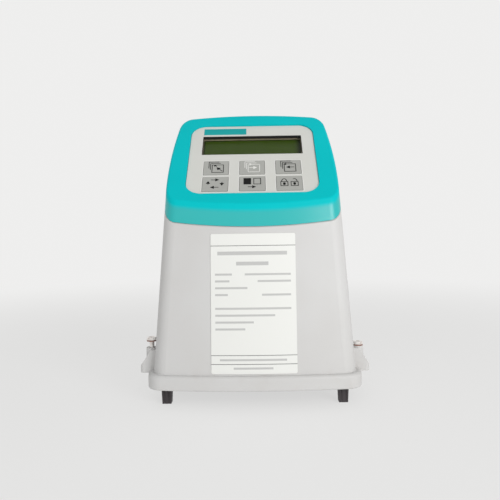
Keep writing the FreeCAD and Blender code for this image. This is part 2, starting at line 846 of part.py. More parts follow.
def make_captive_screw(name, x, y, lift):
    """Round head with a six-sided drive, waisted shank and a threaded end."""
    tip = HEAD_LEVEL - d.screw_length
    thread_top = tip + d.thread_length
    top = HEAD_LEVEL + d.head_height
    outline = [
        (0, tip),
        (d.thread_radius - 0.5, tip),
        (d.thread_radius, tip + 0.6),
        (d.thread_radius, thread_top),
        (d.shank_radius, thread_top + 0.5),
        (d.shank_radius, HEAD_LEVEL),
        (d.head_radius, HEAD_LEVEL),
        (d.head_radius, top - 0.6),
        (d.head_radius - 0.6, top),
        (0, top),
    ]
    turned_screw = turned(f"{name}_turned", outline, (ZERO, ZERO, ZERO))
    drive = doc.addObject("Part::Prism", f"{name}_drive")
    drive.Polygon = 6
    bind(drive, "Circumradius", d.drive_radius)
    bind(drive, "Height", d.drive_depth + 1)
    place(drive, (0, 0, top - d.drive_depth))
    screw = cut(name, turned_screw, drive)
    return place(screw, (x, y, as_size(lift)))


def make_washer(name, x, y, lift):
    level = d.boss_top + lift
    disc = rod(f"{name}_disc", d.head_radius - 0.1, d.washer_thickness, (x, y, level))
    hole = rod(f"{name}_hole", d.shank_radius + 0.1, 5, (x, y, level - 1))
    return cut(name, disc, hole)


# ---------------------------------------------------------------------------
# Chassis, boards and what they carry
# ---------------------------------------------------------------------------

GUIDE_X = d.body_width / 2 - d.guide_inset
RAIL_MIDDLE = (d.rail_inside + d.rail_thickness) / 2
BOARD_WIDTH = d.rail_inside + 2 * d.slot_depth - 0.4
BOARD_LEVEL = CHASSIS_TOP + 0.2
# the main board ends below the sloping display tray
TRAY_ABOVE_BOARD = (
    d.crease_height
    + (d.main_board_y - front_at(d.crease_height)) * tan(d.face_angle)
    + TRAY_FLOOR / cos(d.face_angle)
)
MAIN_BOARD_HEIGHT = TRAY_ABOVE_BOARD - BOARD_LEVEL - d.board_headroom
PLUG_LEVEL = CHASSIS_TOP - d.plug_height


def make_chassis():
    """The dark insert that closes the base, guides the boards and ends in the two guides."""
    layer = box("chassis_layer", (BIG, BIG, d.chassis_thickness), (0, ZERO), d.chassis_level)
    floor = common("chassis_floor", tapered_form("chassis_form", d.wall + 0.3), layer)
    cutters = [
        rod(f"chassis_relief_{name}", COLUMN_RADIUS + 0.3, 10, (x, y, ZERO))
        for name, (x, y) in zip(SCREW_NAMES, SCREW_PLACES)
    ]
    rail_size = (d.rail_thickness, d.rail_front + d.rail_rear, d.rail_height)
    rail_y = (d.rail_rear - d.rail_front) / 2
    rails = [
        box(f"rail_{side}", rail_size, (side * RAIL_MIDDLE, rail_y), CHASSIS_TOP) for side in (-1, 1)
    ]
    slot_size = (d.rail_inside + 2 * d.slot_depth, d.board_thickness + 0.3, BIG)
    for name, y in (("main", d.main_board_y), ("power", d.power_board_y)):
        cutters.append(box(f"slot_{name}", slot_size, (0, y), CHASSIS_TOP))
    for n, (x, y) in enumerate(CORNER_PLACES):
        cutters.append(rod(f"chassis_hole_{n}", d.chassis_screw_radius + 0.4, 10, (x, y, ZERO)))
    opening_size = (d.plug_width + 0.4, d.plug_depth + 0.4, 20)
    cutters.append(box("plug_opening", opening_size, (0, ZERO), as_size(-5)))
    legs = [make_guide(side) for side in (-1, 1)]
    return cut("connector_chassis", fuse("chassis_solid", [floor] + rails + legs), cutters)


def make_guide(side):
    """A tapered guide leg below the base, with two grooves down its front."""
    body = doc.addObject("PartDesign::Body", f"guide_{side}")
    sketch = new_sketch(body, f"guide_outline_{side}", "XY_Plane")
    draw_rounded(sketch, d.guide_width, d.guide_depth, as_size(0.8))
    pad = body.newObject("PartDesign::Pad", f"guide_pad_{side}")
    pad.Profile = sketch
    pad.Reversed = True
    bind(pad, "Length", d.guide_length + d.chassis_level + 0.5)
    bind(pad, "TaperAngle", -d.guide_taper)
    x, y = side * GUIDE_X, d.guide_front + d.guide_depth / 2
    place(body, (x, y, d.chassis_level + 0.5))
    step = d.guide_width / 5
    grooves = [
        box(f"guide_groove_{side}_{n}", (1, 1.6, 30), (x + n * step, d.guide_front), as_size(-29))
        for n in (-1, 1)
    ]
    return cut(f"guide_leg_{side}", body, grooves)


PIN_COLUMNS = 10
PIN_PLACES = [
    ((column - (PIN_COLUMNS - 1) / 2) * d.pin_pitch, row * d.pin_rows_apart / 2)
    for row in (-1, 1)
    for column in range(PIN_COLUMNS)
]


def make_plug_block():
    """The plug's body: a square socket below and a narrow bore above for each pin."""
    size = (d.plug_width, d.plug_depth, d.plug_height)
    block = slab("plug_blank", size, 2.5, (0, ZERO), PLUG_LEVEL)
    socket_size = (d.socket_side, d.socket_side, d.socket_depth + 1)
    bore_side = d.pin_side + 2 * d.pin_clearance
    bore_size = (bore_side, bore_side, d.plug_height)
    holes = []
    for n, at in enumerate(PIN_PLACES):
        holes.append(box(f"socket_{n}", socket_size, at, PLUG_LEVEL - 1))
        holes.append(box(f"bore_{n}", bore_size, at, PLUG_LEVEL + 1))
    return cut("plug_block", block, holes)


def make_plug_pins():
    """Square pins that stand in the sockets and reach the boards above the block."""
    size = (d.pin_side, d.pin_side, d.plug_height)
    level = PLUG_LEVEL + d.pin_lift
    pins = [box(f"pin_{n}", size, at, level) for n, at in enumerate(PIN_PLACES)]
    return group("plug_pins", pins)


def upright_board(name, height, y):
    """A circuit board standing in the rails' slots."""
    body = slab(name, (BOARD_WIDTH, height, d.board_thickness), 2, (0, ZERO), ZERO)
    return place(body, (0, y + d.board_thickness / 2, BOARD_LEVEL + height / 2), FACING_FRONT)


def make_power_parts():
    """The transformer, capacitors, relay and fuse on the power board's front."""
    face = d.power_board_y - d.board_thickness / 2
    middle, depth = -24, face - 6.5
    core = box("core_block", (34, 8, 28), (middle, depth), BOARD_LEVEL + 22)
    windows = [
        box(f"core_window_{side}", (6, 12, 18), (middle + side * 7.5, depth), BOARD_LEVEL + 27)
        for side in (-1, 1)
    ]
    spool = box("coil_spool", (20, 12.6, 17), (middle, depth + 0.1), BOARD_LEVEL + 27.5)
    leg = box("coil_leg", (9.4, 8.4, 20), (middle, depth), BOARD_LEVEL + 26)
    cans = [
        rod(f"can_{n}", 6, 14, (8 + 14 * n, face, BOARD_LEVEL + 46), FACING_FRONT) for n in range(3)
    ]
    return [
        cut("transformer_core", core, windows),
        cut("transformer_coil", spool, leg),
        group("capacitors", cans),
        box("output_relay", (20, 12, 15), (14, face - 6), BOARD_LEVEL + 14),
        rod("fuse", 2.6, 20, (30, face - 3.2, BOARD_LEVEL + 10)),
    ]


def make_main_parts():
    """The chips on the main board's front and the header along its top edge."""
    face = d.main_board_y - d.board_thickness / 2
    board_top = BOARD_LEVEL + MAIN_BOARD_HEIGHT
    # each chip's place across the board, its bottom below the board's top, its width and height
    layout = [(-20, 44, 16, 16), (12, 40, 12, 10), (30, 62, 8, 12), (-34, 70, 10, 8), (4, 66, 14, 6)]
    chips = [
        box(f"chip_{n}", (width, 2, height), (x, face - 1), board_top - drop)
        for n, (x, drop, width, height) in enumerate(layout)
    ]
    header = box("main_board_header", (30, 7, 8), (0, face - 3.5), board_top - 10)
    return [group("processor_chips", chips), header]


def make_chassis_screws():
    """The four small screws that hold the chassis to the corner posts."""
    head, shank = d.chassis_screw_head, d.chassis_screw_radius
    length = d.chassis_thickness + d.chassis_screw_reach
    outline = [(0, -1.8), (head, -1.8), (head, 0), (shank, 0), (shank, length), (0, length)]
    screws = [
        turned(f"chassis_screw_{n}", outline, (x, y, d.chassis_level))
        for n, (x, y) in enumerate(CORNER_PLACES)
    ]
    return group("chassis_screws", screws)


def make_base_seal():
    """The flat seal round the plug, under the chassis floor."""
    outer = (d.plug_width + 12, d.plug_depth + 12, 2)
    ring = slab("base_seal_blank", outer, 8, (0, ZERO), d.chassis_level - 2)
    inner = (d.plug_width + 1, d.plug_depth + 1, 6)
    hole = slab("base_seal_hole", inner, 3, (0, ZERO), d.chassis_level - 4)
    return cut("base_seal", ring, hole)


def make_label():
    """A thin adhesive label that follows the bowed front."""
    outer = tapered_form("label_outer", -(d.label_gap + d.label_thickness))
    skin = cut("label_skin", outer, tapered_form("label_inner", -d.label_gap))
    top = d.crease_height - d.label_below_crease
    length = top - d.label_bottom
    body = slab("label_window", (d.label_width, length, d.body_depth), 1.2, (0, ZERO), ZERO)
    place(body, (0, 0, (top + d.label_bottom) / 2), FACING_FRONT)
    return common("rating_label", skin, body)


# ---------------------------------------------------------------------------
# Assembly
# ---------------------------------------------------------------------------

nodes = [make_housing(), make_cap(), make_gasket(), make_plate(), make_lens()]
for key_name, (key_x, key_y) in zip(KEY_NAMES, KEY_PLACES):
    nodes.append(make_key(key_name, key_x, key_y))
nodes += [make_lcd_glass(), make_lcd_bezel(), make_key_mat(), make_display_board()]
nodes += [make_tray(), make_display_screws(), make_display_plug()]
for place_name, (screw_x, screw_y) in zip(SCREW_NAMES, SCREW_PLACES):
    screw_lift = d.screw_lift if place_name == "front_left" else ZERO
    nodes.append(make_captive_screw(f"captive_screw_{place_name}", screw_x, screw_y, screw_lift))
    nodes.append(make_washer(f"washer_{place_name}", screw_x, screw_y, screw_lift))
nodes += [make_chassis(), make_plug_block(), make_plug_pins(), make_base_seal()]
nodes += [upright_board("main_board", MAIN_BOARD_HEIGHT, d.main_board_y)]
nodes += [upright_board("power_board", d.power_board_height, d.power_board_y)]
nodes += make_power_parts() + make_main_parts() + [make_chassis_screws(), make_label()]

doc.recompute()

broken = [o.Name for o in doc.Objects if "Invalid" in o.State or "Error" in o.State]
if broken:
    raise RuntimeError(f"objects that failed: {broken}")
for node in nodes:
    node.Label = node.Name
    if node.Shape.isNull() or not node.Shape.isValid():
        raise RuntimeError(f"{node.Name} has no valid shape")

os.makedirs("parts", exist_ok=True)
for node in nodes:
    node.Shape.exportStep(f"parts/{node.Label}.step")
print(len(nodes), "nodes written")
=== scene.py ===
"""Looks of the plug-on transmitter head of an electromagnetic flow meter.

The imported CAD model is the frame. The sections follow the head as it is put together. The scene is
in metres, and a size in millimetres is written as a number times mm.
"""

import json
import math

import bmesh
import bpy
from mathutils import Matrix, Quaternion, Vector


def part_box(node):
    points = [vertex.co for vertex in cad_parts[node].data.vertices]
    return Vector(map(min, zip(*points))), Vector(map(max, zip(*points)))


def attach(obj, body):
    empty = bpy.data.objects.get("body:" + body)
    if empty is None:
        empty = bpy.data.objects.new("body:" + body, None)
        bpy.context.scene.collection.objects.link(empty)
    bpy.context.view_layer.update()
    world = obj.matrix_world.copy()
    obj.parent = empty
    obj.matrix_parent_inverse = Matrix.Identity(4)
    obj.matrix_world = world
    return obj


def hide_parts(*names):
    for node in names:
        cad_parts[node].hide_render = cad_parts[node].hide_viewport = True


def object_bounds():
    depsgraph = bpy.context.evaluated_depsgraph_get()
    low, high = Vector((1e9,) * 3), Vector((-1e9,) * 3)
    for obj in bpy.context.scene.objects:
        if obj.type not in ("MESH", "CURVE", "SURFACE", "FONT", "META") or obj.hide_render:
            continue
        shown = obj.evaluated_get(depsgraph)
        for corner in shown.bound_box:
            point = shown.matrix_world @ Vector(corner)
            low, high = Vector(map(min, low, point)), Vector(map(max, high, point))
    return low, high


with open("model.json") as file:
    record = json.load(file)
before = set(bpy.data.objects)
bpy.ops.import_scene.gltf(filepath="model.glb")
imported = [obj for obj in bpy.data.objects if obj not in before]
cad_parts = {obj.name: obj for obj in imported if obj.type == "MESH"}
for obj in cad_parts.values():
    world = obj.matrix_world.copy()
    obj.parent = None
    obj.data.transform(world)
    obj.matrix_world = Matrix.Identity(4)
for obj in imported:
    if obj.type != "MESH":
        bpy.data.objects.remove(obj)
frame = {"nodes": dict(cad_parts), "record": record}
cad_box = [list(corner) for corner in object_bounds()]
mm = 0.001

# ---------------------------------------------------------------------------
# Camera, floor and lamps
# The head stands on a pale floor in soft studio light that comes from the front, a little from the
# right, and is seen straight from the front at the height of its seam.
# ---------------------------------------------------------------------------

camera = bpy.data.objects.new("camera", bpy.data.cameras.new("camera"))
bpy.context.scene.collection.objects.link(camera)
bpy.context.scene.camera = camera
camera.data.sensor_width = 36
camera.data.lens = 37.44
camera.location = Vector((3.27, -372.2, 103.4)) * mm
aim = Vector((-2.42, 0, 88.8)) * mm
roll = Quaternion((0, 0, 1), math.radians(-0.8))
camera.rotation_mode = "QUATERNION"
camera.rotation_quaternion = (aim - camera.location).to_track_quat("-Z", "Y") @ roll

studio_white = (1, 0.997, 0.99, 1)
studio_light, studio_seen = 0.42, 0.86


class Wire:
    """The output of a node, on which sums are written as in Python."""

    def __init__(self, socket):
        self.socket = socket

    def node(self, kind, settings=None, feeds=None):
        """Add a node to the same tree: its settings first, then what feeds its sockets."""
        made = self.socket.id_data.nodes.new(kind)
        for name, value in (settings or {}).items():
            setattr(made, name, value)
        shown = [socket for socket in made.inputs if socket.enabled]
        for name, value in (feeds or {}).items():
            by_place = isinstance(name, int)
            feed(shown[name] if by_place else next(s for s in shown if s.name == name), value)
        return Wire(next(socket for socket in made.outputs if socket.enabled))

    def maths(self, operation, *others):
        """A Math node on this output and others, in that order."""
        terms = dict(enumerate((self, *others)))
        return self.node("ShaderNodeMath", {"operation": operation}, terms)

    def axes(self):
        """The x, y and z of a vector."""
        first = self.node("ShaderNodeSeparateXYZ", feeds={0: self})
        return [Wire(socket) for socket in first.socket.node.outputs]

    def __add__(self, other):
        return self.maths("ADD", other)

    def __sub__(self, other):
        return self.maths("SUBTRACT", other)

    def __rsub__(self, other):
        return self.node("ShaderNodeMath", {"operation": "SUBTRACT"}, {0: other, 1: self})

    def __mul__(self, other):
        return self.maths("MULTIPLY", other)

    def __truediv__(self, other):
        return self.maths("DIVIDE", other)

    def __gt__(self, other):
        return self.maths("GREATER_THAN", other)

    def __lt__(self, other):
        return self.maths("LESS_THAN", other)

    def __abs__(self):
        return self.maths("ABSOLUTE")

    __radd__ = __add__
    __rmul__ = __mul__


def feed(socket, value):
    """Link a wire to a socket, or set the socket to a plain value."""
    if isinstance(value, Wire):
        socket.id_data.links.new(value.socket, socket)
    else:
        socket.default_value = value


def make_floor(low):
    """A wide pale floor that keeps the head's shadow and fades into the studio behind it."""
    half_width, gap_below = 6, 0.2 * mm
    grey = (0.84, 0.84, 0.835, 1)
    fade_start, fade_end, fade_at_head = 0.2, 0.9, 0.72
    bm = bmesh.new()
    bmesh.ops.create_grid(bm, x_segments=1, y_segments=1, size=half_width)
    bmesh.ops.translate(bm, verts=bm.verts, vec=(0, 0, low - gap_below))
    mesh = bpy.data.meshes.new("floor")
    bm.to_mesh(mesh)
    bm.free()
    floor = bpy.data.objects.new("floor", mesh)
    bpy.context.scene.collection.objects.link(floor)
    material = bpy.data.materials.new("pale_floor")
    material.use_nodes = True
    nodes = material.node_tree.nodes
    nodes.remove(nodes["Principled BSDF"])
    place = Wire(nodes.new("ShaderNodeTexCoord").outputs["Object"])
    distance = place.node("ShaderNodeVectorMath", {"operation": "LENGTH"}, {0: place})
    fade = place.node("ShaderNodeMapRange", {"interpolation_type": "SMOOTHSTEP"}, {
        "Value": distance, "From Min": fade_start, "From Max": fade_end, "To Min": fade_at_head})
    matt = place.node("ShaderNodeBsdfDiffuse", feeds={"Color": grey})
    far = place.node("ShaderNodeEmission", feeds={"Color": studio_white, "Strength": studio_seen})
    both = place.node("ShaderNodeMixShader", feeds={0: fade, 1: matt, 2: far})
    feed(nodes["Material Output"].inputs["Surface"], both)
    mesh.materials.append(material)


def make_sky():
    """An even pale studio, brighter where it is seen directly, in a mirror or through glass."""
    world = bpy.data.worlds.new("studio")
    bpy.context.scene.world = world
    world.use_nodes = True
    nodes = world.node_tree.nodes
    path = nodes.new("ShaderNodeLightPath").outputs
    camera_ray, glossy_ray, glass_ray = [
        Wire(path[f"Is {kind} Ray"]) for kind in ("Camera", "Glossy", "Transmission")]
    seen = (camera_ray + glossy_ray + glass_ray).maths("MINIMUM", 1)
    feed(nodes["Background"].inputs["Color"], studio_white)
    feed(nodes["Background"].inputs["Strength"], studio_light + seen * (studio_seen - studio_light))


def add_lamp(name, place, power, width):
    """A square soft lamp that points at the middle of the head."""
    head_middle = Vector((0, 0, 90 * mm))
    data = bpy.data.lights.new(name, "AREA")
    data.energy = power
    data.shape = "SQUARE"
    data.size = width
    lamp = bpy.data.objects.new(name, data)
    bpy.context.scene.collection.objects.link(lamp)
    lamp.location = place
    lamp.rotation_euler = (head_middle - lamp.location).to_track_quat("-Z", "Y").to_euler()


bpy.context.scene.view_settings.view_transform = "Standard"
make_floor(cad_box[0][2])
make_sky()
add_lamp("key_lamp", place=(0.68, -0.92, 0.38), power=7.4, width=0.6)
add_lamp("fill_lamp", place=(-0.3, -1.0, 0.8), power=1.8, width=0.8)

# ---------------------------------------------------------------------------
# Housing
# The lower shell, its flange and its four screw bosses are one moulding of light grey plastic with
# a fine spark-eroded grain. Handling leaves faint clouding and a little dirt low down.
# ---------------------------------------------------------------------------


class Finish:
    """A material: one shader, whose sockets take numbers or what varies over the surface."""

    def __init__(self, name, colour, roughness, **fixed):
        self.material = bpy.data.materials.new(name)
        self.material.use_nodes = True
        nodes = self.material.node_tree.nodes
        self.shader = nodes["Principled BSDF"]
        self.place = Wire(nodes.new("ShaderNodeTexCoord").outputs["Object"])
        self.colour, self.roughness = colour, roughness
        self.set("Base Color", colour)
        self.set("Roughness", roughness)
        for socket, value in fixed.items():
            self.set(socket.replace("_", " "), value)

    def set(self, socket, value):
        feed(self.shader.inputs[socket], value)

    def lay(self, mask, colour):
        """Lay a colour over the one that is there, as far as a mask goes from 0 to 1."""
        feeds = {"Factor": mask, "A": self.colour, "B": colour}
        self.colour = self.place.node("ShaderNodeMix", {"data_type": "RGBA"}, feeds)
        self.set("Base Color", self.colour)

    def dull(self, mask, amount):
        """Add to the roughness as far as a mask goes from 0 to 1, or polish by a minus amount."""
        self.roughness = self.roughness + mask * amount
        self.set("Roughness", self.roughness)

    def noise(self, scale, detail=2, stretch=None):
        """Noise from 0 to 1, drawn out along an axis where stretch is small."""
        place = self.place
        if stretch:
            multiply = {"operation": "MULTIPLY"}
            place = place.node("ShaderNodeVectorMath", multiply, {0: place, 1: stretch})
        feeds = {"Vector": place, "Scale": scale, "Detail": detail}
        return place.node("ShaderNodeTexNoise", feeds=feeds)

    def steps(self, value, low, high):
        """Value taken smoothly from 0 at low to 1 at high."""
        feeds = {"Value": value, "From Min": low, "From Max": high}
        return self.place.node("ShaderNodeMapRange", {"interpolation_type": "SMOOTHSTEP"}, feeds)

    def bump(self, height, depth):
        """Raise the surface by a depth where height is 1."""
        feeds = {"Distance": depth, "Height": height}
        self.set("Normal", self.place.node("ShaderNodeBump", feeds=feeds))


def moulded(name, colour, shade, roughness, grain=1500, depth=0.03 * mm, **fixed):
    """Moulded plastic: softly clouded colour, spark-eroded grain and faint rubs."""
    finish = Finish(name, colour, roughness, **fixed)
    clouds = finish.steps(finish.noise(scale=18, detail=4), low=0.3, high=0.7)
    rubs = finish.steps(finish.noise(scale=160, detail=3, stretch=(1, 1, 0.15)), low=0.6, high=0.75)
    finish.lay(clouds, shade)
    finish.dull(clouds, 0.06)
    finish.dull(rubs, -0.08)
    finish.bump(finish.noise(grain), depth)
    return finish


def dress(finish, *names):
    """Give CAD nodes a material."""
    for name in names:
        for slot in frame["nodes"][name].material_slots:
            slot.material = finish.material


def make_housing_finish():
    """Light grey plastic, with a little dirt in its smudges that fades out above the flange."""
    pale, worn, dirt = (0.615, 0.612, 0.605, 1), (0.59, 0.583, 0.572, 1), (0.50, 0.46, 0.43, 1)
    dirty_to, clean_from, dirt_strength = 6 * mm, 26 * mm, 0.15
    finish = moulded("pale_housing_plastic", pale, worn, roughness=0.5)
    height = finish.place.axes()[2]
    low_down = 1 - finish.steps(height, dirty_to, clean_from)
    smudges = finish.steps(finish.noise(scale=90, detail=5), low=0.5, high=0.72)
    finish.lay(low_down * smudges * dirt_strength, dirt)
    return finish


dress(make_housing_finish(), "housing")

# ---------------------------------------------------------------------------
# Display cap and its seal
# The turquoise cap is a satin moulding clamped on the housing, glossier down its sides than on its
# slanted face, and its sides carry a painted deeper shade of its turquoise. The black rubber seal
# under it shows as a dark line.
# ---------------------------------------------------------------------------

joints = frame["record"]["behaviour"]["joints"]
into_face = next(joint["axis"] for joint in joints if joint["name"].endswith("press"))
out = -Vector(into_face).normalized()
up = Vector((0, out.z, -out.y))
plate_thickness = 2.2 * mm
plate_low, plate_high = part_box("display_plate")
plate_top = (Vector(plate_low) + Vector(plate_high)) / 2 + out * plate_thickness / 2


def make_cap_finish():
    """Turquoise, with a painted deeper shade and a coat of gloss from just below the slanted face
    down.
    """
    face_colour, face_shade = (0.0005, 0.545, 0.58, 1), (0.001, 0.52, 0.555, 1)
    side_painted_shade, side_coat = (0.012, 0.44, 0.435, 1), 0.95
    side_from, face_from = -3 * mm, -0.6 * mm
    finish = moulded("turquoise_cap_plastic", face_colour, face_shade, roughness=0.42,
                     depth=0.015 * mm, Specular_IOR_Level=0.06, Coat_Roughness=0.3)
    y, z = finish.place.axes()[1:]
    above_plate = y * out.y + z * out.z - plate_top.dot(out)
    sides = 1 - finish.steps(above_plate, side_from, face_from)
    # Painted shade: below the slanted face the turquoise is laid a deeper shade; the coat of gloss
    # there is real.
    finish.lay(sides, side_painted_shade)
    finish.set("Coat Weight", sides * side_coat)
    return finish


def rubber(name, colour, dusty):
    """Matt rubber with fine dust on it."""
    finish = Finish(name, colour, roughness=0.8)
    dust = finish.steps(finish.noise(scale=700, detail=4), low=0.55, high=0.8)
    finish.lay(dust, dusty)
    finish.bump(finish.noise(scale=2500), 0.02 * mm)
    return finish


dress(make_cap_finish(), "cap_frame")
seal_finish = rubber("black_seal_rubber", (0.018, 0.018, 0.018, 1), (0.07, 0.068, 0.062, 1))
dress(seal_finish, "display_gasket", "base_seal")

# ---------------------------------------------------------------------------
# Display plate
# A light grey plate with a matt film on it. The film carries a plain turquoise bar above the
# window and a paler line round each key; a thin black frame covers the walls of the window
# opening.
# ---------------------------------------------------------------------------

face = Matrix.Translation(plate_top) @ Matrix([(1, 0, 0), up, out]).transposed().to_4x4()


def on_plate(node):
    """Where the middle of a node lies on the plate: across and up from the plate's middle."""
    low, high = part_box(node)
    gap = (Vector(low) + Vector(high)) / 2 - plate_top
    return gap.x, gap.dot(up)


def finish_piece(name, bm, finish, body, place=face):
    """Turn a mesh built in a flat frame into a piece that rides on a body."""
    bm.transform(place)
    bmesh.ops.recalc_face_normals(bm, faces=bm.faces)
    mesh = bpy.data.meshes.new(name)
    bm.to_mesh(mesh)
    bm.free()
    mesh.materials.append(finish.material)
    piece = bpy.data.objects.new(name, mesh)
    bpy.context.scene.collection.objects.link(piece)
    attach(piece, body)


def slab(bm, outline, low, high):
    """A flat shape with an outline, from one level to another."""
    rings = [[bm.verts.new((x, y, level)) for x, y in outline] for level in (low, high)]
    bm.faces.new(rings[1])
    bm.faces.new(reversed(rings[0]))
    for n in range(len(outline)):
        after = (n + 1) % len(outline)
        bm.faces.new([rings[0][n], rings[0][after], rings[1][after], rings[1][n]])


def rounded(width, length, corner, steps=5):
    """The outline of a rectangle with rounded corners."""
    points = []
    for n, (sx, sy) in enumerate([(1, -1), (1, 1), (-1, 1), (-1, -1)]):
        for step in range(steps + 1):
            turn = math.radians(90 * (n - 1) + 90 * step / steps)
            x = sx * (width / 2 - corner) + corner * math.cos(turn)
            y = sy * (length / 2 - corner) + corner * math.sin(turn)
            points.append((x, y))
    return points


def moved(points, x, y):
    return [(px + x, py + y) for px, py in points]


def outline_round(width, length, gap, corner, x, y):
    """A rounded outline at a gap outside a rectangle that has its middle at x and y."""
    return moved(rounded(width + 2 * gap, length + 2 * gap, corner), x, y)


def frame_of(bm, outer, inner, low, high):
    """A flat frame between two outlines with the same number of points."""
    low_out, low_in, high_out, high_in = [
        [bm.verts.new((x, y, z)) for x, y in line] for z in (low, high) for line in (outer, inner)]
    sides = ((low_out, high_out), (high_out, high_in), (high_in, low_in), (low_in, low_out))
    for n in range(len(outer)):
        after = (n + 1) % len(outer)
        for a, b in sides:
            bm.faces.new([a[n], a[after], b[after], b[n]])


plate_finish = moulded("pale_plate_film", (0.67, 0.675, 0.64, 1), (0.65, 0.65, 0.61, 1),
                       roughness=0.45, grain=2600, depth=0.012 * mm)
dress(plate_finish, "display_plate")

film = 0.06 * mm
bar_width, bar_length, bar_corner = 31.9 * mm, 7.3 * mm, 0.3 * mm
bar_left, bar_low = -36.2 * mm, 27.6 * mm
bar_outline = rounded(bar_width, bar_length, bar_corner)
bar = bmesh.new()
slab(bar, moved(bar_outline, bar_left + bar_width / 2, bar_low + bar_length / 2), 0, film)
bar_finish = moulded("turquoise_print", (0.002, 0.37, 0.37, 1), (0.003, 0.34, 0.35, 1),
                     roughness=0.4, grain=2600, depth=0.01 * mm, Specular_IOR_Level=0.2)
finish_piece("turquoise_bar", bar, bar_finish, "transmitter")

window_width, window_length = 73.2 * mm, 21.7 * mm
window_middle = on_plate("display_window")[1]
liner_clearance, liner_wall, liner_below_film = 0.02 * mm, 0.23 * mm, 0.15 * mm
liner_corner, liner_inner_corner = 0.6 * mm, 0.5 * mm
# A thin black frame over the walls of the window opening, which makes the opening dark along its
# top.
liner_finish = Finish("black_opening_frame", (0.012, 0.011, 0.011, 1), roughness=0.9)
liner_finish.bump(liner_finish.noise(scale=3000, detail=3), 0.05 * mm)
liner_outer, liner_inner = [
    outline_round(window_width, window_length, -inset, corner, 0, window_middle)
    for inset, corner in ((liner_clearance, liner_corner),
                          (liner_clearance + liner_wall, liner_inner_corner))]
liner = bmesh.new()
frame_of(liner, liner_outer, liner_inner, liner_clearance - plate_thickness, -liner_below_film)
finish_piece("window_liner", liner, liner_finish, "transmitter")

# ---------------------------------------------------------------------------
# Window, liquid crystal glass and its bezel
# A clear polycarbonate window lies over a two-line character display, which is plain dark olive
# without a supply, with faint cells for its characters and painted shadow along its left, right
# and top edges. Its brown bezel shows along the top.
# ---------------------------------------------------------------------------


def make_window_finish():
    """Clear plastic, which hides a little of what is behind it and is faintly wiped."""
    tint = (0.02, 0.022, 0.018, 1)
    finish = Finish("clear_window_plastic", tint, roughness=0.06, Specular_IOR_Level=0.12)
    streaks = finish.noise(scale=240, detail=4, stretch=(1, 0.2, 0.2))
    wipes = finish.steps(streaks, low=0.5, high=0.75)
    finish.dull(wipes, 0.08)
    finish.set("Alpha", 0.07 + wipes * 0.03)
    return finish


def make_display_finish():
    """Olive glass with two rows of sixteen faint character cells, and painted shadow at its edges.
    """
    olive, cell, wall_shadow_colour = (0.047, 0.088, 0.005, 1), (0.042, 0.079, 0.004, 1), (0.008, 0.010, 0.005, 1)
    half_width, half_height, cell_width = 33 * mm, 8.2 * mm, 4.15 * mm
    half_cell, half_row = 0.4, 0.42
    wall_shadow_strength = 0.85
    right_shadow_span, left_shadow_span, top_edge = (31 * mm, 36 * mm), (34 * mm, 36.5 * mm), (9.2 * mm, 9.6 * mm)
    finish = Finish("olive_display_glass", olive, roughness=0.28, Specular_IOR_Level=0.2)
    x, y, z = finish.place.axes()
    rise = (y - plate_top.y) * up.y + (z - plate_top.z) * up.z - window_middle
    column, row = (x + half_width) / cell_width, (rise + half_height) / half_height
    in_column = abs(column.maths("FRACT") - 0.5) < half_cell
    in_row = abs(row.maths("FRACT") - 0.5) < half_row
    in_text = (abs(x) < half_width) * (abs(rise) < half_height)
    finish.lay(in_column * in_row * in_text, cell)
    # Painted shadow: the olive is darkened towards its left, right and top edges (top_edge is the
    # top span), where the walls of the window opening shade it.
    sides = finish.steps(x, *right_shadow_span) + finish.steps(x * -1, *left_shadow_span)
    wall_shadow = sides.maths("MAXIMUM", finish.steps(rise, *top_edge))
    finish.lay(wall_shadow * wall_shadow_strength, wall_shadow_colour)
    finish.dull(finish.noise(scale=30, detail=3), 0.08)
    return finish


dress(make_window_finish(), "display_window")
dress(make_display_finish(), "lcd_glass")
bezel_finish = moulded("brown_grey_bezel", (0.48, 0.42, 0.29, 1), (0.40, 0.35, 0.24, 1),
                       roughness=0.45)
dress(bezel_finish, "lcd_bezel")

# ---------------------------------------------------------------------------
# Keys
# Six grey keycaps stand a hair above the plate. Each carries a small printed symbol of its own:
# pages and arrows, a loop of arrows, a filled and an open square, and two padlocks.
# ---------------------------------------------------------------------------

key_width, key_length, key_corner, key_proud = 17.6 * mm, 14.8 * mm, 0.8 * mm, 0.25 * mm
line, ink_gap = 0.5 * mm, 0.005 * mm
surround_gap, surround_width, surround_height = 0.3 * mm, 0.55 * mm, film * 0.7
key_finish = moulded("grey_keycap", (0.415, 0.42, 0.395, 1), (0.385, 0.387, 0.362, 1),
                     roughness=0.6, grain=1400, depth=0.05 * mm)
black_ink = Finish("black_ink", (0.004, 0.004, 0.004, 1), roughness=0.5, Specular_IOR_Level=0.15)
white_ink = Finish("white_ink", (0.78, 0.78, 0.75, 1), roughness=0.45)
for ink in (black_ink, white_ink):
    ink.dull(ink.noise(scale=900), 0.15)


def stroke(bm, points, closed=False):
    """A printed line of even width along a few points."""
    ends = list(zip(points, points[1:])) + ([(points[-1], points[0])] if closed else [])
    for start, end in ends:
        along = (Vector(end) - Vector(start)).normalized() * line / 2
        side = Vector((-along.y, along.x))
        a, b = Vector(start) - along, Vector(end) + along
        slab(bm, [a - side, b - side, b + side, a + side], 0, film)


def arrow(bm, tip, turn, length, head=1.9 * mm):
    """A small arrow that ends at its tip, pointing along an angle."""
    half_head, head_length, head_film = 0.8 * head, 1.4 * head, 1.1 * film
    turn = math.radians(turn)
    along = Vector((math.cos(turn), math.sin(turn)))
    side = Vector((-along.y, along.x)) * half_head
    tip = Vector(tip)
    base = tip - along * head_length
    stroke(bm, [tip - along * length, base])
    slab(bm, [tip, base + side, base - side], 0, head_film)


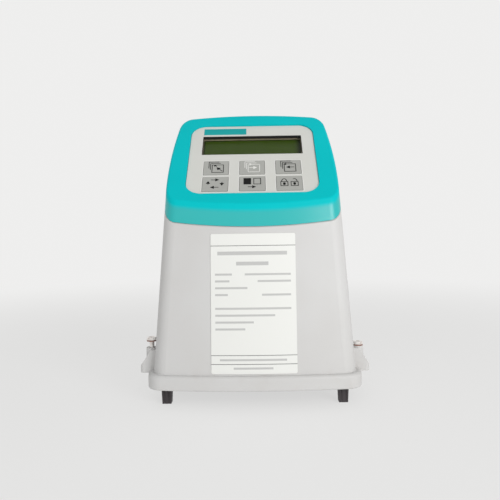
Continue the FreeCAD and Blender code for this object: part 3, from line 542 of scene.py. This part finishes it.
def square_corners(half_width, half_length, x=0, y=0):
    signs = [(-1, -1), (1, -1), (1, 1), (-1, 1)]
    return [(x + sx * half_width, y + sy * half_length) for sx, sy in signs]


def pages(bm, turn, tip, tip_behind):
    """A stack of three pages with an arrow on the front one and a small one on those behind."""
    half_side, step, rise = 4 * mm, 1.15 * mm, 1.6 * mm
    middle = Vector((step, -0.9 * mm))
    stroke(bm, square_corners(half_side, half_side, *middle), closed=True)
    for behind in (1, 2):
        left = step - half_side - behind * step
        top = middle.y + half_side + behind * rise
        low, right = top - 2 * half_side + rise, left + 2 * half_side - step
        stroke(bm, [(left, low), (left, top), (right, top)])
    arrow(bm, middle + Vector(tip) * mm, turn, 5.6 * mm, head=2 * mm)
    arrow(bm, middle + Vector(tip_behind) * mm, turn, 2.8 * mm, head=1.5 * mm)


def loop_of_arrows(bm):
    """Four arrows that follow each other round: the way each points, its tip and its length."""
    loop = ((0, 2.6, 4.2, 5.4), (-90, 4.6, -1.8, 3.4), (180, -3.4, -3.4, 5.6), (90, -4.9, 3, 3.4))
    for turn, x, y, length in loop:
        arrow(bm, (x * mm, y * mm), turn, length * mm)


def squares(bm):
    """A filled and an open square side by side, over an arrow."""
    half_width, half_length, apart, rise = 2.6 * mm, 3.2 * mm, 3.4 * mm, 2.3 * mm
    slab(bm, square_corners(half_width, half_length, -apart, rise), 0, film)
    rim = line / 2
    stroke(bm, square_corners(half_width - rim, half_length - rim, apart, rise), closed=True)
    arrow(bm, (2.6 * mm, -3.4 * mm), 0, 5.4 * mm)


def padlocks(bm):
    """A closed and an open padlock, each with a bow over its body and a keyhole in it."""
    half_width, half_length, bow_radius = 2.4 * mm, 2.1 * mm, 1.8 * mm
    bow_height, bow_step = 1.6 * bow_radius, 22.5
    keyhole = rounded(1.8 * mm, 2.6 * mm, 0.8 * mm, steps=3)
    for side, bow_points in ((-1, 9), (1, 6)):
        x, y = side * 3.5 * mm, -0.7 * mm
        stroke(bm, square_corners(half_width, half_length, x, y), closed=True)
        turns = [math.radians(n * bow_step) for n in range(bow_points)]
        bow = [(bow_radius * math.cos(turn), bow_height * math.sin(turn)) for turn in turns]
        stroke(bm, moved(bow, x, y + half_length))
        slab(bm, moved(keyhole, x, y), 0, film)


symbols = {
    "key_upper_left": (black_ink, pages, 135, (-0.9, 1.4), (-3, 4.4)),
    "key_upper_middle": (white_ink, pages, 0, (2.4, 0.6), (-1, 4)),
    "key_upper_right": (black_ink, pages, 180, (-2.8, 0.6), (-4.6, 4)),
    "key_lower_left": (black_ink, loop_of_arrows),
    "key_lower_middle": (black_ink, squares),
    "key_lower_right": (black_ink, padlocks),
}
surrounds = bmesh.new()
for key, (ink, draw, *details) in symbols.items():
    dress(key_finish, key)
    x, y = on_plate(key)
    symbol = bmesh.new()
    draw(symbol, *details)
    on_key = face @ Matrix.Translation((x, y, key_proud + ink_gap))
    finish_piece(f"symbol_{key}", symbol, ink, f"{key}_body", on_key)
    inner, outer = [
        outline_round(key_width, key_length, surround_gap + wider, key_corner + wider, x, y)
        for wider in (0, surround_width)]
    frame_of(surrounds, outer, inner, 0, surround_height)
finish_piece("key_surrounds", surrounds, white_ink, "transmitter")

# ---------------------------------------------------------------------------
# Display unit behind the plate
# A silicone key mat and a glass fibre board with its plug are screwed to the cap and closed by a
# grey tray.
# ---------------------------------------------------------------------------

mat_finish = rubber("grey_key_mat", (0.35, 0.35, 0.34, 1), (0.40, 0.40, 0.39, 1))
dress(mat_finish, "key_mat")


def make_board_finish():
    """Green solder mask over copper tracks, which show as slightly raised paler lines."""
    mask, track = (0.008, 0.10, 0.035, 1), (0.02, 0.19, 0.07, 1)
    track_pitch, half_track = 2.54 * mm, 0.12
    finish = Finish("green_circuit_board", mask, roughness=0.3)
    columns = finish.place.axes()[0] / track_pitch
    lines = abs(columns.maths("FRACT") - 0.5) < half_track
    islands = finish.steps(finish.noise(scale=70), low=0.48, high=0.56)
    tracks = lines * islands
    finish.lay(tracks, track)
    finish.bump(tracks, 0.04 * mm)
    return finish


def turned_metal(name, colour, shade, roughness):
    """Turned and plated metal: fine rings round its axis and faint stains."""
    finish = Finish(name, colour, roughness, Metallic=1.0)
    stain = finish.steps(finish.noise(scale=260, detail=4), low=0.45, high=0.75)
    rings = finish.noise(scale=4200, stretch=(0.03, 0.03, 1))
    finish.lay(stain, shade)
    finish.dull(stain, 0.12)
    finish.dull(rings, 0.06)
    finish.bump(rings, 0.01 * mm)
    return finish


dress(make_board_finish(), "display_board", "main_board", "power_board")
tray_finish = moulded("grey_tray_plastic", (0.35, 0.35, 0.35, 1), (0.31, 0.31, 0.31, 1),
                      roughness=0.55)
dress(tray_finish, "display_tray")
nylon_finish = moulded("natural_nylon", (0.72, 0.70, 0.62, 1), (0.68, 0.65, 0.56, 1),
                       roughness=0.45)
dress(nylon_finish, "display_plug", "main_board_header")
zinc_finish = turned_metal("zinc_plated_steel", (0.62, 0.61, 0.58, 1), (0.5, 0.48, 0.43, 1),
                           roughness=0.32)
dress(zinc_finish, "display_screws", "chassis_screws")

# ---------------------------------------------------------------------------
# Rating label
# A white polyester label with fine printed rules. Its rows of print are shown as plain pale grey
# bars of uneven length, with nothing written.
# ---------------------------------------------------------------------------


def make_label_finish():
    """White film with three dark rules, and plain bars where lines of print would be."""
    paper, ink, faint = (0.80, 0.805, 0.775, 1), (0.13, 0.13, 0.13, 1), (0.52, 0.52, 0.51, 1)
    rule_levels, half_rule = (93 * mm, 22.6 * mm, 17 * mm), 0.2 * mm
    small_print, large_print = 1.3 * mm, 2.4 * mm
    row_pitch, lowest_row = 4.4 * mm, 39.2 * mm
    rows = [(8, 0.05, 0.25), (8, 0.4, 0.94), (7, 0.05, 0.22), (7, 0.55, 0.94), (6, 0.05, 0.43),
            (5, 0.05, 0.2), (5, 0.6, 0.94), (3, 0.05, 0.94), (2, 0.05, 0.75), (1, 0.05, 0.5),
            (0, 0.05, 0.4)]
    bars = [(lowest_row + row * row_pitch, small_print, start, end) for row, start, end in rows]
    bars += [(88.1 * mm, large_print, 0.08, 0.9), (81.4 * mm, large_print, 0.3, 0.68)]
    bars += [(19.7 * mm, small_print, 0.1, 0.88), (14.4 * mm, small_print, 0.26, 0.72)]
    finish = Finish("printed_label_film", paper, roughness=0.32)
    x, _, z = finish.place.axes()
    low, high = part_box("rating_label")
    along = (x - low[0]) / (high[0] - low[0])
    printed = sum(
        (abs(z - level) < height / 2) * (abs(along - (start + end) / 2) < (end - start) / 2)
        for level, height, start, end in bars)
    finish.lay(printed, faint)
    finish.lay(sum(abs(z - level) < half_rule for level in rule_levels), ink)
    finish.dull(finish.noise(scale=120, detail=3), 0.1)
    return finish


dress(make_label_finish(), "rating_label")

# ---------------------------------------------------------------------------
# Captive screws and washers
# Four turned stainless screws, M4, with a knurled head, a six-sided drive, a waisted shank and a
# rolled thread, each on a red fibre washer. They stay in their bosses when they are undone.
# ---------------------------------------------------------------------------

screw_length, head_height, head_radius = 27 * mm, 2 * mm, 3.5 * mm
shank_radius, thread_core = 1.6 * mm, 1.62 * mm
thread_length, pitch = 12 * mm, 0.7 * mm
drive_radius, drive_depth = 1.6 * mm, 1.2 * mm
rib_count, rib_radius, rib_sunk = 40, 0.16 * mm, 0.14 * mm
rib_low_gap, rib_top_gap = 0.25 * mm, 0.35 * mm
ridge_radius, thread_start, thread_runout = 0.3 * mm, 0.5 * mm, 1.2 * mm
round_steps = 48


def ring(radius, level, sides=0):
    """A loop of points at one level: round, or with straight sides."""
    points = []
    for n in range(round_steps):
        turn = 2 * math.pi * n / round_steps
        reach = radius
        if sides:
            half = math.pi / sides
            reach = radius * math.cos(half) / math.cos(turn % (2 * half) - half)
        points.append((reach * math.cos(turn), reach * math.sin(turn), level))
    return points


def loft(bm, loops):
    """A closed skin over loops of points, flat at both ends."""
    made = [[bm.verts.new(point) for point in loop] for loop in loops]
    for low, high in zip(made, made[1:]):
        for n in range(len(low)):
            after = (n + 1) % len(low)
            bm.faces.new([low[n], low[after], high[after], high[n]])
    bm.faces.new(reversed(made[0]))
    bm.faces.new(made[-1])


def make_screw_blank():
    """The screw without its knurl and thread, standing on its tip."""
    top = screw_length + head_height
    barrel_radius = head_radius - 0.18 * mm
    tip_bevel, thread_end, fillet = 0.35 * mm, 0.4 * mm, 0.2 * mm
    under_bevel, top_bevel, top_edge, drive_bevel = 0.17 * mm, 0.27 * mm, 0.3 * mm, 0.25 * mm
    blank = bmesh.new()
    loft(blank, [
        ring(thread_core - tip_bevel, 0),
        ring(thread_core, thread_end),
        ring(thread_core, thread_length - thread_end),
        ring(shank_radius, thread_length + fillet),
        ring(shank_radius, screw_length - fillet),
        ring(shank_radius + fillet, screw_length),
        ring(barrel_radius - under_bevel, screw_length),
        ring(barrel_radius, screw_length + fillet),
        ring(barrel_radius, top - top_edge),
        ring(barrel_radius - top_bevel, top),
        ring(drive_radius + drive_bevel, top),
        ring(drive_radius, top - fillet, sides=6),
        ring(drive_radius, top - drive_depth, sides=6),
    ])
    return blank


def start_tree(name, lengths, counts):
    """A new geometry node tree with a named input for each size, as wires by name."""
    tree = bpy.data.node_groups.new(name, "GeometryNodeTree")
    inputs = [("Geometry", "NodeSocketGeometry")]
    inputs += [(length, "NodeSocketFloat") for length in lengths]
    inputs += [(count, "NodeSocketInt") for count in counts]
    for size, kind in inputs:
        tree.interface.new_socket(size, in_out="INPUT", socket_type=kind)
    tree.interface.new_socket("Geometry", in_out="OUTPUT", socket_type="NodeSocketGeometry")
    given = tree.nodes.new("NodeGroupInput")
    return {socket.name: Wire(socket) for socket in given.outputs if socket.name}


def end_tree(parts, finish):
    """Join what a tree has made into one real mesh with its material."""
    tree = parts[0].socket.id_data
    joined = tree.nodes.new("GeometryNodeJoinGeometry")
    for part in parts:
        tree.links.new(part.socket, joined.inputs[0])
    whole = Wire(joined.outputs[0])
    real = whole.node("GeometryNodeRealizeInstances", feeds={0: whole})
    painting = {"Geometry": real, "Material": finish.material}
    painted = real.node("GeometryNodeSetMaterial", feeds=painting)
    result = tree.nodes.new("NodeGroupOutput")
    tree.links.new(painted.socket, result.inputs[0])
    return tree


def make_screw_tree(finish):
    """Geometry nodes that add a knurl of ribs round the head and a helical thread on the end."""
    lengths = ("Head Radius", "Rib Low", "Rib Height", "Core Radius", "Pitch", "Thread Length")
    size = start_tree("screw_details", lengths, counts=["Ribs"])
    blank = size["Geometry"]
    circle = blank.node("GeometryNodeCurvePrimitiveCircle", feeds={
        "Resolution": size["Ribs"], "Radius": size["Head Radius"] - rib_sunk})
    rib = blank.node("GeometryNodeMeshCylinder", feeds={
        "Vertices": 6, "Radius": rib_radius, "Depth": size["Rib Height"]})
    ribs = blank.node("GeometryNodeInstanceOnPoints", feeds={"Points": circle, "Instance": rib})
    rib_middle = size["Rib Low"] + size["Rib Height"] * 0.5
    lift = blank.node("ShaderNodeCombineXYZ", feeds={"Z": rib_middle})
    knurl = blank.node("GeometryNodeTransform", feeds={"Geometry": ribs, "Translation": lift})
    cut_length = size["Thread Length"] - thread_runout
    helix = blank.node("GeometryNodeCurveSpiral", feeds={
        "Resolution": 24, "Rotations": cut_length / size["Pitch"], "Height": cut_length,
        "Start Radius": size["Core Radius"], "End Radius": size["Core Radius"]})
    ridge = blank.node("GeometryNodeCurvePrimitiveCircle", feeds={
        "Resolution": 6, "Radius": ridge_radius})
    wound = blank.node("GeometryNodeCurveToMesh", feeds={
        "Curve": helix, "Profile Curve": ridge, "Fill Caps": True})
    above_tip = blank.node("ShaderNodeCombineXYZ", feeds={"Z": thread_start})
    thread = blank.node("GeometryNodeTransform", feeds={
        "Geometry": wound, "Translation": above_tip})
    return end_tree([blank, knurl, thread], finish)


def grow(name, blank, tree, sizes):
    """Run a geometry node tree on a mesh, and return the result as a plain mesh."""
    bmesh.ops.recalc_face_normals(blank, faces=blank.faces)
    mesh = bpy.data.meshes.new(f"{name}_blank")
    blank.to_mesh(mesh)
    blank.free()
    holder = bpy.data.objects.new(f"{name}_blank", mesh)
    bpy.context.scene.collection.objects.link(holder)
    modifier = holder.modifiers.new("details", "NODES")
    modifier.node_group = tree
    for item in tree.interface.items_tree:
        if item.name in sizes:
            modifier[item.identifier] = sizes[item.name]
    evaluated = holder.evaluated_get(bpy.context.evaluated_depsgraph_get())
    grown = bpy.data.meshes.new_from_object(evaluated)
    grown.name = name
    bpy.data.objects.remove(holder)
    return grown


steel_finish = turned_metal("turned_stainless_steel", (0.86, 0.84, 0.82, 1),
                            (0.70, 0.65, 0.62, 1), roughness=0.34)
screw_tree = make_screw_tree(steel_finish)
screw_sizes = {
    "Head Radius": head_radius, "Rib Low": screw_length + rib_low_gap,
    "Rib Height": head_height - rib_low_gap - rib_top_gap, "Ribs": rib_count,
    "Core Radius": thread_core, "Pitch": pitch, "Thread Length": thread_length,
}
washer_finish = Finish("red_fibre", (0.26, 0.13, 0.10, 1), roughness=0.75)
washer_finish.bump(washer_finish.noise(scale=2000, detail=3), 0.03 * mm)

for corner in ("front_left", "front_right", "rear_left", "rear_right"):
    node = f"captive_screw_{corner}"
    low, high = [Vector(point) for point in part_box(node)]
    tip = Vector(((low.x + high.x) / 2, (low.y + high.y) / 2, low.z))
    mesh = grow(f"screw_{corner}", make_screw_blank(), screw_tree, screw_sizes)
    mesh.transform(Matrix.Translation(tip))
    screw = bpy.data.objects.new(f"detailed_screw_{corner}", mesh)
    bpy.context.scene.collection.objects.link(screw)
    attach(screw, f"screw_{corner}")
    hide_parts(node)
    dress(washer_finish, f"washer_{corner}")

# ---------------------------------------------------------------------------
# Plug base
# The dark insert that closes the base ends in two tapered guides and holds the two-row plug. It is
# glass-filled plastic, duller and rougher than the housing.
# ---------------------------------------------------------------------------

insert_finish = moulded("dark_brown_glass_filled_plastic", (0.028, 0.023, 0.025, 1),
                        (0.05, 0.041, 0.045, 1), roughness=0.6, grain=1100, depth=0.05 * mm)
dress(insert_finish, "connector_chassis")
plug_finish = moulded("black_plug_plastic", (0.02, 0.02, 0.021, 1), (0.028, 0.028, 0.03, 1),
                      roughness=0.45)
dress(plug_finish, "plug_block")
pin_finish = turned_metal("tinned_contact", (0.75, 0.68, 0.5, 1), (0.6, 0.55, 0.42, 1),
                          roughness=0.28)
dress(pin_finish, "plug_pins")

# ---------------------------------------------------------------------------
# Parts on the boards
# Behind the closed housing: a varnished transformer with an amber taped coil, sleeved capacitors,
# a relay, a ceramic fuse with tinned end caps and the processor's moulded chips on bent legs.
# ---------------------------------------------------------------------------


def make_core_finish():
    """Varnished steel sheets, stacked from side to side."""
    finish = Finish("varnished_core", (0.10, 0.10, 0.11, 1), roughness=0.4, Metallic=0.6)
    finish.bump(finish.noise(scale=3000, detail=1, stretch=(1, 1, 0.02)), 0.05 * mm)
    return finish


def make_tape_finish():
    """Amber tape wound in turns, one above another."""
    amber, burnt = (0.62, 0.36, 0.04, 1), (0.52, 0.28, 0.03, 1)
    finish = moulded("amber_tape", amber, burnt, roughness=0.3)
    upwards = {"bands_direction": "Z"}
    turns = finish.place.node("ShaderNodeTexWave", upwards, {"Vector": finish.place, "Scale": 160})
    finish.bump(turns, 0.12 * mm)
    return finish


def make_can_finish():
    """Aluminium cans in a black sleeve with a pale stripe along one side."""
    sleeve, stripe, metal = (0.015, 0.015, 0.03, 1), (0.5, 0.5, 0.5, 1), (0.8, 0.8, 0.8, 1)
    bare_top, stripe_height = 0.3 * mm, 1.2 * mm
    finish = Finish("sleeved_can", sleeve, roughness=0.28)
    y, z = finish.place.axes()[1:]
    low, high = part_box("capacitors")
    top = y < low[1] + bare_top
    finish.lay(z > high[2] - stripe_height, stripe)
    finish.lay(top, metal)
    finish.set("Metallic", top)
    finish.dull(finish.noise(scale=300, detail=3), 0.1)
    return finish


dress(make_core_finish(), "transformer_core")
dress(make_tape_finish(), "transformer_coil")
dress(make_can_finish(), "capacitors")
relay_finish = moulded("blue_relay_case", (0.015, 0.06, 0.25, 1), (0.012, 0.05, 0.2, 1),
                       roughness=0.35)
dress(relay_finish, "output_relay")
fuse_finish = moulded("fuse_ceramic", (0.75, 0.73, 0.68, 1), (0.7, 0.67, 0.6, 1), roughness=0.3)
dress(fuse_finish, "fuse")
chip_finish = moulded("chip_compound", (0.014, 0.014, 0.014, 1), (0.02, 0.02, 0.02, 1),
                      roughness=0.6)
dress(chip_finish, "processor_chips")

fuse_low, fuse_high = [Vector(corner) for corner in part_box("fuse")]
fuse_middle = (fuse_low + fuse_high) / 2
end_cap_wall, end_cap_length, end_cap_bevel = 0.12 * mm, 5 * mm, 0.4 * mm
end_cap_proud, end_cap_shoulder = 0.1 * mm, 0.2 * mm
end_cap_radius = (fuse_high.x - fuse_low.x) / 2 + end_cap_wall
end_cap_profile = [(end_cap_radius - end_cap_bevel, -end_cap_proud),
                   (end_cap_radius, end_cap_shoulder), (end_cap_radius, end_cap_length)]
fuse_caps = bmesh.new()
for end, inward in ((fuse_low.z, 1), (fuse_high.z, -1)):
    loft(fuse_caps, [ring(radius, end + inward * depth) for radius, depth in end_cap_profile])
fuse_axis = Matrix.Translation((fuse_middle.x, fuse_middle.y, 0))
finish_piece("fuse_end_caps", fuse_caps, pin_finish, "transmitter", fuse_axis)


def make_leg():
    """One bent leg of a chip, which leaves its side and lands on the board behind it."""
    half_leg = 0.2 * mm
    bent = [(0, -0.1), (0.6, -0.1), (0.85, 0.74), (1.5, 0.74), (1.5, 0.94), (0.7, 0.94),
            (0.45, 0.1), (0, 0.1)]
    leg = bmesh.new()
    slab(leg, [(x * mm, y * mm) for x, y in bent], -half_leg, half_leg)
    return leg


def make_leg_tree(finish):
    """Geometry nodes that set legs in a row along both sides of a chip."""
    size = start_tree("chip_legs", ("Pitch", "Half Width"), counts=["Legs"])
    leg = size["Geometry"]
    lowest = (size["Legs"] - 1) * size["Pitch"] * -0.5
    start = leg.node("ShaderNodeCombineXYZ", feeds={"X": size["Half Width"], "Z": lowest})
    step = leg.node("ShaderNodeCombineXYZ", feeds={"Z": size["Pitch"]})
    row = leg.node("GeometryNodeMeshLine", feeds={
        "Count": size["Legs"], "Start Location": start, "Offset": step})
    right = leg.node("GeometryNodeInstanceOnPoints", feeds={"Points": row, "Instance": leg})
    left = leg.node("GeometryNodeTransform", feeds={"Geometry": right, "Scale": (-1, 1, 1)})
    return end_tree([right, left], finish)


leg_tree = make_leg_tree(pin_finish)
leg_pitch, leg_lift = 1.27 * mm, 1 * mm
chip_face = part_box("processor_chips")[0][1]
# each chip's middle across and up, its width and its height, in mm
chips = [(-20, 91.2, 16, 16), (12, 92.2, 12, 10), (30, 71.2, 8, 12), (-34, 61.2, 10, 8),
         (4, 64.2, 14, 6)]
chip_legs = bmesh.new()
for x, z, width, height in chips:
    leg_count = int((height - 1) * mm / leg_pitch)
    sizes = {"Legs": leg_count, "Pitch": leg_pitch, "Half Width": width / 2 * mm}
    legs = grow("legs", make_leg(), leg_tree, sizes)
    legs.transform(Matrix.Translation((x * mm, chip_face + leg_lift, z * mm)))
    chip_legs.from_mesh(legs)
finish_piece("chip_legs", chip_legs, pin_finish, "transmitter", Matrix())
